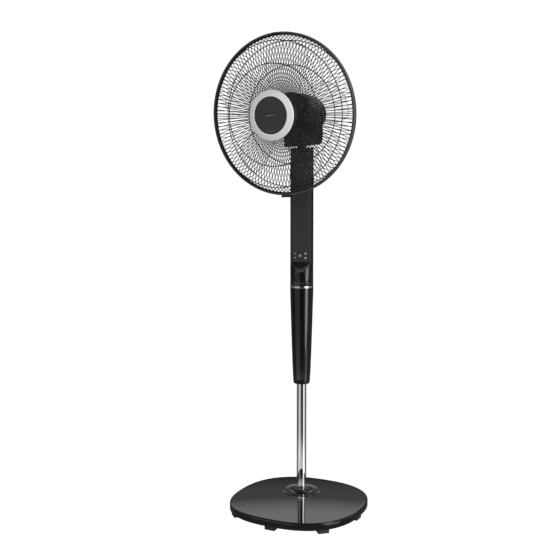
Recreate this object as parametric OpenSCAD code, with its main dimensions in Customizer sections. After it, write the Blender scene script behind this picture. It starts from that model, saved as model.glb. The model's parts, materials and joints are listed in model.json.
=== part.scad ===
// Pedestal fan, 16 inch, with an adjustable column, a turning and tilting head and a weighted base.
// Units are millimetres. The origin is on the floor, on the axis of the pole. -Y is the front of the column.

/* [Base] */
// Half of the base's width, at the middle of a side
base_half = 186; // [150:1:220]
// Squareness of the base's outline: 2 is an ellipse, higher is squarer
base_power = 2.45; // [2:0.05:4]
// How far the middle of the base stands in front of the pole
base_forward = 57; // [0:1:80]
// Angle of the base's corners about its own middle
base_turn = 26; // [-45:1:45]
// Height of the underside of the base's side wall above the floor
base_lift = 11; // [8:1:16]
// Height of the rim of the base's top above the floor
base_rim_z = 30; // [26:1:44]
// Rise of the domed top from its rim to its middle
base_dome = 5; // [2:0.5:12]
// Wall of the base cover
base_wall = 3; // [2:0.5:4]
// Width of a foot along the rim
foot_w = 30; // [20:1:40]

/* [Pole] */
// Radius of the chrome pole
pole_r = 14; // [12:0.5:16]
// Height of the top of the pole
pole_top_z = 470; // [430:5:500]
// Radius of the dished flange round the pole
flange_r = 57; // [40:1:64]

/* [Sleeve] */
// Height of the lower end of the sleeve at the top setting
sleeve_z = 349; // [330:1:370]
// Height of the lower edge of the silver band
band_z = 622; // [600:1:640]
// Height of the silver band
band_h = 9; // [6:0.5:12]
// Radius of the sleeve at its lower end
sleeve_low_r = 23.4; // [21:0.1:26]
// Height of the middle of the lock knob
knob_z = 376; // [370:1:385]

/* [Column] */
// Outer radius of the column
column_r = 33; // [30:0.5:38]
// Wall of the column's shell
column_wall = 2.4; // [1.8:0.1:3]
// Distance of the flat front from the axis
panel_y = 19; // [17:0.5:22]
// Height of the lower end of the flat front
panel_z = 700; // [690:1:710]
// Height of the sloped end under the flat front
slope_h = 20; // [14:1:40]
// Height of the top of the column
column_top_z = 1021; // [1000:1:1030]
// Height of the middle button
button_z = 717; // [712:1:724]

/* [Head] */
// Height of the tilt pin
tilt_z = 1054; // [1050:1:1060]
// Height of the fan's axis over the tilt pin
axis_over_pin = 60.8; // [58:0.1:65]
// Angle that the head is turned to at rest, about the column
rest_yaw = -20.5; // [-40:0.5:40]
// Angle that the head nods down at rest
rest_tilt = 8.4; // [0:0.1:9]
// Width of the lower block of the motor housing
chin_w = 64; // [56:1:72]
// Wall of the motor housing
housing_wall = 2.5; // [2:0.1:3]

/* [Cage] */
// Outer radius of the rim
rim_r = 215; // [200:1:225]
// Distance of the rim's middle plane in front of the column's axis
rim_s = 113; // [111:1:126]
// Width of the rim band
rim_w = 14; // [10:0.5:18]
// Radial thickness of the rim band
rim_t = 5; // [4:0.5:6]
// Number of wires in each grille
wire_count = 120; // [60:10:140]
// Thickness of a wire
wire_t = 2; // [1.6:0.1:2.4]

/* [Blades] */
// Number of blades
blade_count = 5; // [3:1:6]
// Radius to the tip of a blade
blade_r = 186; // [170:1:188]
// Pitch of a blade
blade_pitch = 24; // [15:1:30]

/* [Hidden] */
$fn = 96;
axis_z = tilt_z + axis_over_pin;
base_points = 96;
top_inner_z = base_rim_z - base_wall;
weight_half = base_half - 36;
weight_t = 5;
weight_z = base_lift + 3;
socket_top_z = base_rim_z + base_dome + 7;
run_gap = 0.05;
sleeve_top_z = band_z;
sleeve_wall = 2.5;
band_top_z = band_z + band_h;
shell_z = band_top_z;
panel_t = 2.4;
board_y = -12.6;
switch_t = 0.8;
cap_h = 12;
cap_z = column_top_z - cap_h;
panel_top_z = cap_z;
column_in = column_r - column_wall;
neck_r = 12;
gear_m = 0.9;
neck_teeth = 30;
pinion_teeth = 12;
pinion_stem_r = 2.5;
tooth_slack = 0.12;
gear_z = 987;
gear_h = 8;
gear_gap = gear_m * (neck_teeth + pinion_teeth) / 2;
bracket_z = 978;
stepper_h = 19;
stepper_r = 14;
stepper_off = 8;
tilt_pin_r = 4;
cheek_in = 12.6;
cheek_t = 6;
chin_drop = 86.5;
seam_h = 28;
front_s = 54;
motor_r = 43.5;
cup_r = 46.5;
shoulder_r = 30;
rear_s = -73;
boss_r = 22;
shaft_r = 4;
cage_depth = 57;
hub_r = 66;
latch_pin_r = 1.5;
buttons = [[-16.5, 6.5, 2.4], [-16.5, -5.5, 2.4], [-2.9, 0, 4], [12.5, 6.5, 2.8], [12.5, -6.5, 2.8]];

// A signed power, for the superellipse.
function spow(v, p) = sign(v) * pow(abs(v), p);
// Points of the base's outline at a given half width.
function base_outline(half) = [for (i = [0:base_points - 1]) let (a = i * 360 / base_points)
    [half * spow(cos(a), 2 / base_power), half * spow(sin(a), 2 / base_power)]];

module at_base() {
    translate([0, -base_forward, 0]) rotate([0, 0, base_turn - 45]) children();
}

// The base's outline as a slab.
module base_slab(half, z0, z1) {
    at_base() translate([0, 0, z0]) linear_extrude(z1 - z0) polygon(base_outline(half));
}

// The solid under the domed top, as a turned shape with a rounded crown.
module dome_space(rim_z, rise) {
    steps = 8;
    reach = 1.1 * base_half;
    crown = [for (i = [0:steps]) let (f = i / steps) [reach * f, rim_z + rise * (1 - f * f)]];
    at_base() rotate_extrude() polygon(concat([[0, 0]], crown, [[reach, 0]]));
}

module base_cover() {
    color([0.02, 0.02, 0.025]) difference() {
        intersection() {
            base_slab(base_half, base_lift, base_rim_z + base_dome + 1);
            dome_space(base_rim_z, base_dome);
        }
        base_slab(base_half - base_wall, base_lift - 1, top_inner_z);
        cylinder(r = 24, h = 60);
    }
}

module base_weight() {
    color([0.25, 0.25, 0.26]) difference() {
        base_slab(weight_half, weight_z, weight_z + weight_t);
        translate([0, 0, weight_z - 1]) cylinder(r = 24, h = 40);
    }
}

module base_underplate() {
    color([0.08, 0.08, 0.08]) difference() {
        base_slab(base_half - base_wall - 0.5, weight_z - 2.5, weight_z - 0.2);
        translate([0, 0, -1]) cylinder(r = 8, h = 40);
        underplate_screw_places() translate([0, 0, -1]) cylinder(r = 2.6, h = 40);
    }
}

// Four screw places on the underside.
module underplate_screw_places() {
    at_base() for (a = [0:90:270]) rotate([0, 0, a + 22.5]) translate([base_half - 46, 0, 0]) children();
}

module base_screws() {
    color([0.6, 0.6, 0.6]) underplate_screw_places() union() {
        translate([0, 0, weight_z - 5]) cylinder(r = 4.5, h = 2.4);
        translate([0, 0, weight_z - 4]) cylinder(r = 2.4, h = 3.9);
    }
}

module rubber_feet() {
    color([0.03, 0.03, 0.03]) at_base() for (i = [0:7]) {
        a = i * 45;
        reach = base_half * pow(pow(abs(cos(a)), base_power) + pow(abs(sin(a)), base_power), -1 / base_power);
        rotate([0, 0, a]) translate([reach - 22, -foot_w / 2, 0]) cube([18, foot_w, weight_z - 2.6]);
    }
}

module pole_flange() {
    z0 = base_rim_z + base_dome + 0.1;
    color([0.05, 0.05, 0.055]) rotate_extrude() polygon([
        [27.2, z0], [flange_r, z0], [flange_r, z0 + 0.8], [flange_r - 3, z0 + 2], [27.2, z0 + 0.8]]);
}

module pole_socket() {
    z0 = weight_z;
    ledge_z = base_rim_z + base_dome + 1;
    color([0.03, 0.03, 0.03]) difference() {
        rotate_extrude() polygon([[0, z0], [23.5, z0], [23.5, ledge_z], [27, ledge_z],
            [25.5, socket_top_z - 2], [23, socket_top_z], [0, socket_top_z]]);
        translate([0, 0, z0 + 4]) cylinder(r = pole_r, h = 60);
        translate([0, 0, -1]) cylinder(r = 4.2, h = 60);
    }
}

module pole() {
    color([0.8, 0.8, 0.82]) difference() {
        translate([0, 0, weight_z + 4]) cylinder(r = pole_r, h = pole_top_z - weight_z - 4);
        translate([0, 0, weight_z + 10]) cylinder(r = pole_r - 1.5, h = pole_top_z);
        cylinder(r = 4.2, h = 60);
    }
}

module pole_bolt() {
    color([0.65, 0.65, 0.65]) union() {
        translate([0, 0, weight_z - 4.4]) cylinder(r = 7.6, h = 4.4, $fn = 6);
        translate([0, 0, weight_z - 4]) cylinder(r = 4, h = 24);
        translate([0, 0, weight_z + 10]) cylinder(r = 9, h = 6);
    }
}

module pole_bush() {
    color([0.85, 0.85, 0.82]) difference() {
        union() {
            translate([0, 0, pole_top_z]) cylinder(r = pole_r + 2, h = 4);
            translate([0, 0, pole_top_z - 20]) cylinder(r = pole_r - 1.5, h = 21);
        }
        translate([0, 0, pole_top_z - 21]) cylinder(r = pole_r - 4, h = 40);
    }
}

// Outer radius of the sleeve at a share of its height, fuller towards the top.
function sleeve_r(f) = sleeve_low_r + (column_r + 0.4 - sleeve_low_r) * pow(f, 0.72);

module sleeve() {
    steps = 10;
    tall = sleeve_top_z - sleeve_z;
    outside = [for (i = [0:steps]) let (f = i / steps) [sleeve_r(f), sleeve_z + 3 + (tall - 3) * f]];
    inside = [for (i = [0:steps]) let (f = 1 - i / steps)
        [sleeve_r(f) - sleeve_wall, sleeve_z + 4 + (tall - 4) * f]];
    color([0.02, 0.02, 0.025]) difference() {
        rotate_extrude() polygon(concat([[pole_r + 4, sleeve_z]], [[sleeve_low_r - 2, sleeve_z]],
            outside, inside, [[pole_r + 4, sleeve_z + 4]]));
        translate([0, 0, knob_z]) rotate([-90, 0, 0]) cylinder(r = 4.4, h = 60);
    }
}

module sleeve_bush() {
    color([0.12, 0.12, 0.12]) difference() {
        union() {
            translate([0, 0, sleeve_z + 4.1]) cylinder(r = sleeve_low_r - sleeve_wall - 0.4, h = 44);
            translate([0, 0, sleeve_z + 0.5]) cylinder(r = pole_r + 3.9, h = 4);
        }
        translate([0, 0, sleeve_z]) cylinder(r = pole_r + run_gap, h = 60);
        translate([0, 0, knob_z]) rotate([-90, 0, 0]) cylinder(r = 5.1, h = 60);
    }
}

module clamp_shoe() {
    color([0.7, 0.7, 0.66]) difference() {
        translate([0, 0, knob_z]) rotate([-90, 0, 0]) cylinder(r = 5, h = pole_r + 4);
        translate([0, 0, sleeve_z]) cylinder(r = pole_r + run_gap, h = 60);
    }
}

module lock_screw() {
    color([0.6, 0.6, 0.6]) translate([0, pole_r + 4.2, knob_z]) rotate([-90, 0, 0]) cylinder(r = 3, h = 17);
}

module lock_knob() {
    knob_y = 27.5;
    color([0.03, 0.03, 0.035]) difference() {
        union() {
            translate([0, knob_y, knob_z]) rotate([-90, 0, 0]) cylinder(r = 9, h = 12);
            translate([0, knob_y + 6, knob_z]) rotate([-90, 0, 0]) linear_extrude(10) hull() {
                translate([-16, 0]) circle(r = 6);
                translate([16, 0]) circle(r = 6);
            }
        }
        translate([0, knob_y - 1, knob_z]) rotate([-90, 0, 0]) cylinder(r = 3, h = 9);
    }
}

module trim_band() {
    color([0.85, 0.86, 0.88]) difference() {
        translate([0, 0, band_z]) cylinder(r = column_r + 0.6, h = band_h);
        translate([0, 0, band_z - 1]) cylinder(r = column_r - 4, h = band_h + 2);
    }
}

// Side outline of the space in front of the panel: the flat front and the slope under it.
module front_space(inset) {
    y0 = -panel_y + inset;
    y1 = -column_r - 0.5 + inset;
    slope_z = panel_z - slope_h - inset * 1.8;
    far = -column_r - 20;
    translate([column_r + 5, 0, 0]) rotate([90, 0, -90]) linear_extrude(2 * column_r + 10) polygon([
        [-y0, column_top_z + 5], [-y0, panel_z - inset * 0.4], [-y1, slope_z], [-far, slope_z],
        [-far, column_top_z + 5]]);
}

module column_shell() {
    color([0.05, 0.05, 0.055]) difference() {
        translate([0, 0, shell_z]) cylinder(r = column_r, h = cap_z - shell_z);
        translate([0, 0, shell_z - 1]) cylinder(r = column_in, h = cap_z - shell_z + 2);
        front_space(panel_t + 0.2);
        cap_screw_places() cylinder(r = 1.5, h = 20);
        translate([0, 0, 668]) rotate([-90, 0, 0]) cylinder(r = 5, h = 60);
    }
}

module front_panel() {
    color([0.13, 0.13, 0.14]) difference() {
        intersection() {
            translate([0, 0, shell_z + 2]) cylinder(r = column_r, h = panel_top_z - shell_z - 2);
            front_space(panel_t);
        }
        front_space(0);
        for (b = buttons) translate([b[0], -column_r, button_z + b[1]]) rotate([-90, 0, 0])
            cylinder(r = b[2] + 0.3, h = column_r);
    }
}

module column_cap() {
    skirt_h = 8;
    color([0.04, 0.04, 0.045]) difference() {
        union() {
            translate([0, 0, cap_z]) cylinder(r = column_r, h = cap_h);
            difference() {
                translate([0, 0, cap_z - skirt_h]) cylinder(r = column_in - 0.1, h = skirt_h + 1);
                translate([-column_r, -column_r - panel_y + panel_t + 0.3, cap_z - skirt_h - 1])
                    cube([2 * column_r, column_r, skirt_h + 1]);
                translate([0, 0, cap_z - skirt_h - 1]) cylinder(r = column_in - 3, h = skirt_h + 1);
            }
        }
        translate([-column_r, -column_r - panel_y, cap_z - 1]) cube([2 * column_r, column_r, cap_h + 2]);
        translate([0, 0, cap_z - 1]) cylinder(r = neck_r + run_gap, h = cap_h + 2);
        cap_screw_places() cylinder(r = 1.5, h = 20);
    }
}

module cord_inlet() {
    color([0.03, 0.03, 0.03]) difference() {
        union() {
            translate([0, column_in - 3, 668]) rotate([-90, 0, 0]) cylinder(r = 5, h = 8);
            translate([0, column_r + 0.2, 668]) rotate([-90, 0, 0]) cylinder(r = 8, h = 3);
        }
        translate([0, 0, 668]) rotate([-90, 0, 0]) cylinder(r = 3.4, h = 60);
    }
}

// Three radial screw places round the back of the column's top, starting inside the cap's skirt.
module cap_screw_places() {
    for (a = [35, 90, 145]) rotate([0, 0, a]) translate([column_in - 4, 0, cap_z - 5])
        rotate([0, 90, 0]) children();
}

module shell_screws() {
    color([0.5, 0.5, 0.5]) cap_screw_places() cylinder(r = 1.5, h = column_wall + 3.6);
}

module control_board() {
    color([0.05, 0.25, 0.12]) translate([-21, board_y, button_z - 14]) cube([42, 1.2, 44]);
}

module tap_switches() {
    color([0.2, 0.2, 0.2]) for (b = buttons)
        translate([b[0] - 1.4, board_y - switch_t, button_z + b[1] - 1.4]) cube([2.8, switch_t, 2.8]);
}

// A push button that stands out of the panel, with a flange behind it and a stem towards its switch.
module push_button(b) {
    proud = 1.2;
    back = proud + panel_t + 0.3;
    translate([b[0], -panel_y - proud, button_z + b[1]]) rotate([-90, 0, 0]) union() {
        cylinder(r = b[2], h = back);
        translate([0, 0, back]) cylinder(r = b[2] + 1, h = 0.8);
        cylinder(r = 1.2, h = back + 1.7);
    }
}

module button_timer() { color([0.75, 0.75, 0.78]) push_button(buttons[0]); }
module button_mode() { color([0.75, 0.75, 0.78]) push_button(buttons[1]); }
module button_power() { color([0.6, 0.6, 0.63]) push_button(buttons[2]); }
module button_speed() { color([0.75, 0.75, 0.78]) push_button(buttons[3]); }
module button_swing() { color([0.75, 0.75, 0.78]) push_button(buttons[4]); }

module drive_bracket() {
    color([0.6, 0.6, 0.62]) difference() {
        translate([0, 0, bracket_z]) cylinder(r = column_in - 0.2, h = 2);
        translate([-column_r, -column_r - panel_y + panel_t + 0.4, bracket_z - 1])
            cube([2 * column_r, column_r, 4]);
        translate([0, gear_gap, bracket_z - 1]) cylinder(r = 4, h = 4);
        translate([0, 0, bracket_z - 1]) cylinder(r = 3, h = 4);
    }
}

module swing_motor() {
    color([0.75, 0.75, 0.76]) union() {
        translate([0, gear_gap - stepper_off, bracket_z - stepper_h - 0.1])
            cylinder(r = stepper_r, h = stepper_h);
        translate([0, gear_gap, bracket_z - 0.5]) difference() {
            cylinder(r = 3.6, h = 3.5);
            translate([0, 0, 0.5]) cylinder(r = pinion_stem_r + run_gap, h = 4);
        }
    }
}

// Points of an involute tooth flank, from the root to the tip of a gear with n teeth.
function involute(rb, t) = [rb * (cos(t) + t * PI / 180 * sin(t)), rb * (sin(t) - t * PI / 180 * cos(t))];
function turn_point(p, a) = [p[0] * cos(a) - p[1] * sin(a), p[0] * sin(a) + p[1] * cos(a)];
function gear_points(n, slack) = let (
    rp = gear_m * n / 2,
    rb = rp * cos(20),
    tip = rp + gear_m,
    root = rp - 1.25 * gear_m,
    t_pitch = tan(20) * 180 / PI,
    t_tip = sqrt(tip * tip / (rb * rb) - 1) * 180 / PI,
    roll = t_pitch - 20,
    half = 90 / n - slack / rp * 90 / PI + roll,
    steps = 5)
    [for (k = [0:n - 1]) let (a = k * 360 / n) each concat(
        [turn_point([root, 0], a - half)],
        [for (i = [0:steps]) turn_point(involute(rb, i * t_tip / steps), a - half)],
        [for (i = [steps:-1:0]) let (p = involute(rb, i * t_tip / steps))
            turn_point([p[0], -p[1]], a + half)],
        [turn_point([root, 0], a + half)])];

module swing_pinion() {
    stem_z = bracket_z + 0.3;
    color([0.85, 0.82, 0.75]) translate([0, gear_gap, 0]) union() {
        translate([0, 0, gear_z]) rotate([0, 0, 90 + 180 / pinion_teeth])
            linear_extrude(gear_h) polygon(gear_points(pinion_teeth, tooth_slack));
        translate([0, 0, stem_z]) cylinder(r = pinion_stem_r, h = gear_z - stem_z + 1);
    }
}

module neck_gear() {
    color([0.85, 0.82, 0.75]) difference() {
        translate([0, 0, gear_z]) rotate([0, 0, 90])
            linear_extrude(gear_h) polygon(gear_points(neck_teeth, tooth_slack));
        translate([0, 0, gear_z - 1]) cylinder(r = 8, h = gear_h + 2);
    }
}

// Everything that turns with the head about the column.
module at_swing() {
    rotate([0, 0, rest_yaw]) children();
}

module neck() {
    color([0.03, 0.03, 0.03]) at_swing() difference() {
        union() {
            translate([0, 0, gear_z - 4]) cylinder(r = 8, h = 60);
            translate([0, 0, gear_z + gear_h + 0.2]) cylinder(r = neck_r, h = 34);
            translate([0, 0, column_top_z + 0.3]) cylinder(r = neck_r + 1.6, h = 1.4);
            translate([-cheek_in + 0.4, -10, gear_z + gear_h + 33]) cube([2 * cheek_in - 0.8, 20, 34]);
        }
        translate([-40, 0, tilt_z]) rotate([0, 90, 0]) cylinder(r = tilt_pin_r, h = 80);
        translate([0, 0, gear_z - 5]) cylinder(r = 4, h = 60);
    }
}

module neck_clip() {
    color([0.5, 0.5, 0.52]) at_swing() difference() {
        translate([0, 0, gear_z - 2.4]) cylinder(r = 10.5, h = 2.2);
        translate([0, 0, gear_z - 5]) cylinder(r = 8, h = 8);
    }
}

module tilt_pin() {
    color([0.6, 0.6, 0.62]) at_swing() translate([0, 0, tilt_z]) rotate([0, 90, 0]) union() {
        translate([0, 0, -cheek_in - cheek_t - 3]) cylinder(r = tilt_pin_r, h = 2 * (cheek_in + cheek_t + 3));
        translate([0, 0, cheek_in + cheek_t + 0.3]) cylinder(r = 7, h = 4);
        translate([0, 0, -cheek_in - cheek_t - 4.3]) cylinder(r = 7, h = 4, $fn = 6);
    }
}

// Everything that nods with the head: turned about the column, then tilted about the pin.
module in_head() {
    translate([0, 0, tilt_z]) rotate([0, 0, rest_yaw]) rotate([rest_tilt, 0, 0]) translate([0, 0, -tilt_z])
        children();
}

// The fan's own frame: +Z runs forward along the shaft, X stays level, Y is up.
module on_axis() {
    in_head() translate([0, 0, axis_z]) rotate([90, 0, 0]) children();
}

// Round part of the motor housing, as a turned outline with an inset.
module housing_round(inset) {
    s0 = rear_s + inset;
    s1 = front_s - 4 - inset;
    rotate_extrude() polygon([[0, s0], [40 - inset, s0], [46 - inset, s0 + 2.5], [50 - inset, s0 + 8],
        [57 - inset, -20], [59 - inset, 20], [58 - inset, s1], [0, s1]]);
}

// Side outline of the lower block, extruded across the head.
module chin_block(inset) {
    translate([-chin_w / 2 + inset, 0, axis_z]) rotate([90, 0, 90])
        linear_extrude(chin_w - 2 * inset) polygon([
        [-49 + inset, -chin_drop + inset], [50 - inset, -chin_drop + inset], [63 - inset, -79 + inset],
        [72 - inset, -62], [74 - inset, -20], [62 - inset, 0], [-50 + inset, 0]]);
}

// The housing's skin without its openings.
module housing_skin() {
    difference() {
        union() {
            in_head() chin_block(0);
            on_axis() housing_round(0);
        }
        in_head() chin_block(housing_wall);
        on_axis() housing_round(housing_wall);
    }
}

// The space above the seam between the housing's two shells.
module above_seam(gap) {
    in_head() translate([-100, -100, axis_z + seam_h + gap]) cube([200, 300, 100]);
}

// Bosses for the seam's screws, kept inside the housing's outer surface.
module seam_bosses(z0, z1) {
    intersection() {
        in_head() for (m = [-1, 1], y = [-20, 20]) translate([m * 48 - 8, y - 4.5, axis_z + z0])
            cube([16, 9, z1 - z0]);
        on_axis() housing_round(1);
    }
}

module seam_screw_holes() {
    in_head() for (m = [-1, 1], y = [-20, 20]) translate([m * 44, y, axis_z + 23]) cylinder(r = 1.6, h = 10);
}

module housing_body() {
    color([0.04, 0.04, 0.045]) union() {
        difference() {
            seam_bosses(25, seam_h);
            seam_screw_holes();
        }
        difference() {
            housing_skin();
            above_seam(0);
            in_head() translate([-cheek_in - 1, -21, axis_z - chin_drop - 5])
                cube([2 * cheek_in + 2, 42, 20]);
            on_axis() for (i = [0:5]) translate([-70, -14 + i * 6, -56]) cube([140, 2.4, 36]);
            on_axis() translate([0, 0, front_s - 10]) cylinder(r = 50, h = 20);
        }
        in_head() difference() {
            for (m = [-1, 1])
                translate([m * (cheek_in + cheek_t / 2) - cheek_t / 2, -15, axis_z - chin_drop + 1])
                cube([cheek_t, 30, 38]);
            translate([-40, 0, tilt_z]) rotate([0, 90, 0]) cylinder(r = tilt_pin_r + run_gap, h = 80);
        }
    }
}

module housing_top() {
    color([0.04, 0.04, 0.045]) difference() {
        union() {
            intersection() {
                housing_skin();
                above_seam(0.3);
            }
            seam_bosses(seam_h + 0.3, 36);
        }
        seam_screw_holes();
        on_axis() translate([0, 0, front_s - 10]) cylinder(r = 50, h = 20);
    }
}

module housing_screws() {
    color([0.5, 0.5, 0.5]) seam_screw_holes();
}

module motor_plate() {
    color([0.55, 0.55, 0.57]) on_axis() difference() {
        union() {
            translate([0, 0, front_s - 10]) cylinder(r = 49.5, h = 10);
            translate([0, 0, 14]) cylinder(r = cup_r, h = front_s - 20);
            translate([0, 0, front_s - 1]) cylinder(r = shoulder_r, h = rim_s - cage_depth - front_s + 0.9);
            translate([0, 0, front_s - 1]) cylinder(r = boss_r, h = 24);
        }
        translate([0, 0, 13]) cylinder(r = motor_r + 0.1, h = front_s - 17);
        translate([0, 0, front_s - 12]) cylinder(r = 8, h = 60);
        motor_bolt_places() cylinder(r = 2, h = 88);
    }
}

module front_bearing() {
    color([0.75, 0.6, 0.3]) on_axis() difference() {
        translate([0, 0, front_s + 2]) cylinder(r = 8, h = 14);
        translate([0, 0, front_s]) cylinder(r = shaft_r + run_gap, h = 20);
    }
}

// Four bolt places that hold the motor's two end plates together.
module motor_bolt_places() {
    for (a = [45:90:315]) rotate([0, 0, a]) translate([39.5, 0, -36]) children();
}

module motor_bolts() {
    color([0.6, 0.6, 0.62]) on_axis() motor_bolt_places() cylinder(r = 2, h = 88);
}

module stator() {
    color([0.5, 0.3, 0.15]) on_axis() difference() {
        translate([0, 0, -6]) cylinder(r = motor_r, h = 34);
        translate([0, 0, -7]) cylinder(r = 28.5, h = 40);
        motor_bolt_places() cylinder(r = 2, h = 88);
    }
}

module rear_bracket() {
    color([0.55, 0.55, 0.57]) on_axis() difference() {
        translate([0, 0, -38]) cylinder(r = cup_r, h = 46);
        translate([0, 0, -33]) cylinder(r = motor_r + 0.1, h = 50);
        translate([0, 0, -39]) cylinder(r = 8, h = 14);
        motor_bolt_places() cylinder(r = 2, h = 88);
    }
}

module rear_bearing() {
    color([0.75, 0.6, 0.3]) on_axis() difference() {
        translate([0, 0, -38]) cylinder(r = 8, h = 9);
        translate([0, 0, -40]) cylinder(r = shaft_r + run_gap, h = 20);
    }
}

module run_capacitor() {
    color([0.85, 0.85, 0.8]) in_head() translate([-20, 32, axis_z - chin_drop + 10]) cube([40, 18, 26]);
}

module rotor_core() {
    color([0.6, 0.6, 0.62]) on_axis() difference() {
        translate([0, 0, -5]) cylinder(r = 28, h = 32);
        translate([0, 0, -23]) cylinder(r = shaft_r, h = 62);
    }
}

module shaft() {
    color([0.75, 0.75, 0.76]) on_axis() translate([0, 0, -42]) cylinder(r = shaft_r, h = rim_s + 66);
}

// One blade's outline seen from the front, as a swept petal along +X.
function blade_outline() = [[26, -16], [60, -34], [110, -52], [150, -58], [176, -50], [blade_r - 1, -30],
    [blade_r, -6], [blade_r - 8, 22], [160, 42], [120, 46], [70, 32], [26, 17]];

module fan_blades() {
    curve_r = 260;
    color([0.55, 0.57, 0.6, 0.45]) on_axis() translate([0, 0, rim_s - 8]) difference() {
        union() {
            translate([0, 0, -20]) cylinder(r = 34, h = 38);
            for (k = [0:blade_count - 1]) rotate([0, 0, k * 360 / blade_count + 12]) intersection() {
                linear_extrude(80, center = true) polygon(blade_outline());
                rotate([blade_pitch, 0, 0]) translate([0, 0, curve_r]) rotate([0, 90, 0]) difference() {
                    cylinder(r = curve_r + 1.2, h = 200);
                    translate([0, 0, -1]) cylinder(r = curve_r - 1.2, h = 202);
                }
                translate([0, 0, -60]) linear_extrude(120) square([2 * blade_r, 200], center = true);
            }
        }
        translate([0, 0, -21]) cylinder(r = shaft_r, h = 60);
        translate([0, 0, -21]) cylinder(r = 27, h = 10);
    }
}

module spinner_nut() {
    color([0.1, 0.1, 0.1]) on_axis() difference() {
        translate([0, 0, rim_s + 10.2]) cylinder(r = 17, h = 18);
        translate([0, 0, rim_s + 9]) cylinder(r = shaft_r, h = 16);
    }
}

// Outline of a grille pan's wires from the hub to the rim, for one wire thickness.
function pan_outline(depth, hub, shoulder_z) = [[hub, depth], [133, depth - 1], [194, shoulder_z],
    [rim_r - 6.5, 3.4]];

// A turned thin pan of the wire's thickness.
module pan_skin(depth, hub, shoulder_z) {
    p = pan_outline(depth, hub, shoulder_z);
    t = wire_t;
    rotate_extrude() polygon([p[0], p[1], p[2], p[3], [p[3][0] - t * 0.9, p[3][1] - t * 0.5],
        [p[2][0] - t * 0.6, p[2][1] - t], [p[1][0], p[1][1] - t], [p[0][0], p[0][1] - t]]);
}

// Radial wires and their rings, seen from the front.
module wire_star() {
    merge_r = wire_t / 2 / sin(180 / wire_count);
    polygon([for (k = [0:wire_count - 1]) let (a = k * 360 / wire_count, b = a + 180 / wire_count) each [
        turn_point([rim_r, -wire_t / 2], a), turn_point([rim_r, wire_t / 2], a),
        [merge_r * cos(b), merge_r * sin(b)]]]);
}

module flat_ring(r, w, z, h) {
    translate([0, 0, z]) difference() {
        cylinder(r = r + w / 2, h = h);
        translate([0, 0, -1]) cylinder(r = r - w / 2, h = h + 2);
    }
}

module grille(depth, hub, shoulder_z) {
    union() {
        intersection() {
            pan_skin(depth, hub, shoulder_z);
            linear_extrude(depth + 5) wire_star();
        }
        flat_ring(hub + 1, 3, depth - wire_t, wire_t);
        flat_ring(133, 3, depth - 1 - wire_t, wire_t);
        flat_ring(194, 3, shoulder_z - wire_t, wire_t);
        flat_ring(rim_r - 5.4, 4, 0.6, 3);
    }
}

module rear_grille() {
    color([0.02, 0.02, 0.02]) on_axis() translate([0, 0, rim_s]) mirror([0, 0, 1]) difference() {
        union() {
            grille(cage_depth, 60, 44);
            translate([0, 0, cage_depth - 3]) cylinder(r = 61, h = 3);
        }
        translate([0, 0, cage_depth - 5]) cylinder(r = boss_r + 0.3, h = 10);
    }
}

module grille_nut() {
    color([0.1, 0.1, 0.1]) on_axis() difference() {
        translate([0, 0, rim_s - cage_depth + 3.2]) cylinder(r = 34, h = 10);
        translate([0, 0, rim_s - cage_depth + 2]) cylinder(r = boss_r, h = 14);
    }
}

module front_grille() {
    color([0.02, 0.02, 0.02]) on_axis() difference() {
        translate([0, 0, rim_s]) union() {
            grille(cage_depth, 62, 36);
            translate([0, 0, cage_depth - wire_t]) cylinder(r = 62, h = wire_t);
        }
        badge_screw_places() cylinder(r = 1.6, h = 20);
    }
}

module rim_band() {
    web = 2.5;
    lip = 2;
    color([0.05, 0.05, 0.05]) on_axis() difference() {
        translate([0, 0, rim_s - rim_w / 2]) union() {
            rotate_extrude() polygon([[rim_r - rim_t, 0], [rim_r, 0], [rim_r, rim_w], [rim_r - rim_t, rim_w],
                [rim_r - rim_t, rim_w - lip], [rim_r - web, rim_w - lip], [rim_r - web, lip],
                [rim_r - rim_t, lip]]);
            rotate([0, 0, -90]) for (m = [-1, 1]) translate([rim_r - 1, m * 16 - 1.5, 0]) cube([6.4, 3, 4]);
        }
        latch_axis() cylinder(r = latch_pin_r, h = 35);
    }
}

module rim_clip() {
    color([0.03, 0.03, 0.03]) on_axis() translate([-9, rim_r - 6.5, rim_s + rim_w / 2 + 0.05])
        cube([18, 6, 2.4]);
}

// The latch's hinge line at the bottom of the rim, with its start at one end of the pin.
module latch_axis() {
    translate([0, 0, rim_s]) rotate([0, 0, -90]) translate([rim_r + 2.8, -17.5, -5]) rotate([-90, 0, 0])
        children();
}

module rim_latch() {
    color([0.03, 0.03, 0.03]) on_axis() difference() {
        union() {
            translate([0, 0, rim_s]) rotate([0, 0, -90]) translate([rim_r + 0.3, -14, -5]) cube([5, 28, 14]);
            latch_axis() translate([0, 0, 3.5]) cylinder(r = 2.5, h = 28);
        }
        latch_axis() cylinder(r = latch_pin_r + run_gap, h = 35);
    }
}

module latch_pin() {
    color([0.6, 0.6, 0.6]) on_axis() latch_axis() cylinder(r = latch_pin_r, h = 35);
}

module hub_ring() {
    color([0.8, 0.81, 0.83]) on_axis() difference() {
        translate([0, 0, rim_s + cage_depth]) rotate_extrude() polygon([
            [48.6, 0.1], [hub_r, 0.1], [hub_r, 1.4], [hub_r - 1.5, 3], [52, 7.5], [49.8, 8], [48.6, 7.6]]);
        badge_screw_places() cylinder(r = 1.6, h = 12);
    }
}

module badge_disc() {
    color([0.03, 0.03, 0.03]) on_axis() translate([0, 0, rim_s + cage_depth]) rotate_extrude() polygon([
        [0, 0.1], [48.4, 0.1], [48.4, 6], [46, 7.4], [24, 8.4], [0, 8.8]]);
}

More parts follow.
